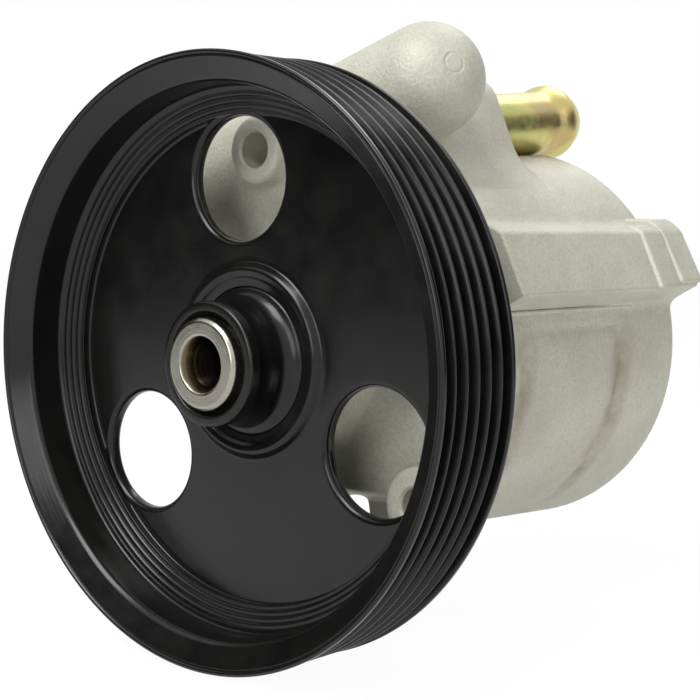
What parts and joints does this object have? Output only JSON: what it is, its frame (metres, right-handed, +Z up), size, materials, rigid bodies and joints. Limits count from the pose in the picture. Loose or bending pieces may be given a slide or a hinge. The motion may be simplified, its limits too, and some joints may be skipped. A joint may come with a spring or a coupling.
{
  "type": "power steering pump",
  "caption": "Hydraulic vane pump in a cast aluminium housing, with a six-groove belt pulley, cross valve boss, plated inlet tube and side lug.",
  "frame": {"origin": "on the shaft axis, in the plane of the three bolt boss faces", "axes": "+Y along the shaft away from the pulley, +Z up through the valve boss and inlet neck, +X towards the side lug"},
  "size_m": [0.126, 0.1272, 0.1352],
  "materials": {
    "cast_aluminium": "fine sand cast, unpainted",
    "black_paint": "gloss black paint on steel",
    "ground_steel": "ground, bright",
    "hard_steel": "hardened and ground",
    "yellow_zinc": "yellow zinc plated",
    "bronze": "plain bearing bronze",
    "seal_rubber": "matte"
  },
  "bodies": {
    "pump_body": {"housing": "cast_aluminium", "shaft_seal": "seal_rubber", "front_bushing": "bronze", "thrust_plate": "hard_steel", "cam_ring": "hard_steel", "dowel_pin_1": "ground_steel", "dowel_pin_2": "ground_steel", "pressure_plate": "hard_steel", "pressure_plate_oring": "seal_rubber", "pressure_plate_spring": "hard_steel", "end_cover": "hard_steel", "end_cover_oring": "seal_rubber", "end_cover_ring": "hard_steel", "inlet_tube": "yellow_zinc", "outlet_union": "yellow_zinc", "outlet_union_oring": "seal_rubber", "valve_spring": "hard_steel"},
    "rotating_group": {"pulley": "black_paint", "pulley_hub": "black_paint", "drive_shaft": "ground_steel", "rotor_clip": "hard_steel", "rotor": "hard_steel", "vane_01": "ground_steel", "vane_02": "ground_steel", "vane_03": "ground_steel", "vane_04": "ground_steel", "vane_05": "ground_steel", "vane_06": "ground_steel", "vane_07": "ground_steel", "vane_08": "ground_steel", "vane_09": "ground_steel", "vane_10": "ground_steel"},
    "flow_valve": {"valve_spool": "ground_steel"}
  },
  "joints": [
    {"name": "pulley_spin", "type": "hinge", "parent": "pump_body", "child": "rotating_group", "pos_m": [0, 0, 0], "axis": [0, 1, 0], "continuous": true},
    {"name": "valve_slide", "type": "slide", "parent": "pump_body", "child": "flow_valve", "axis": [0.9336, 0, 0.3584], "range_m": [0, 0.004], "stiffness_N_per_m": 4000, "springref_m": -0.003}
  ]
}
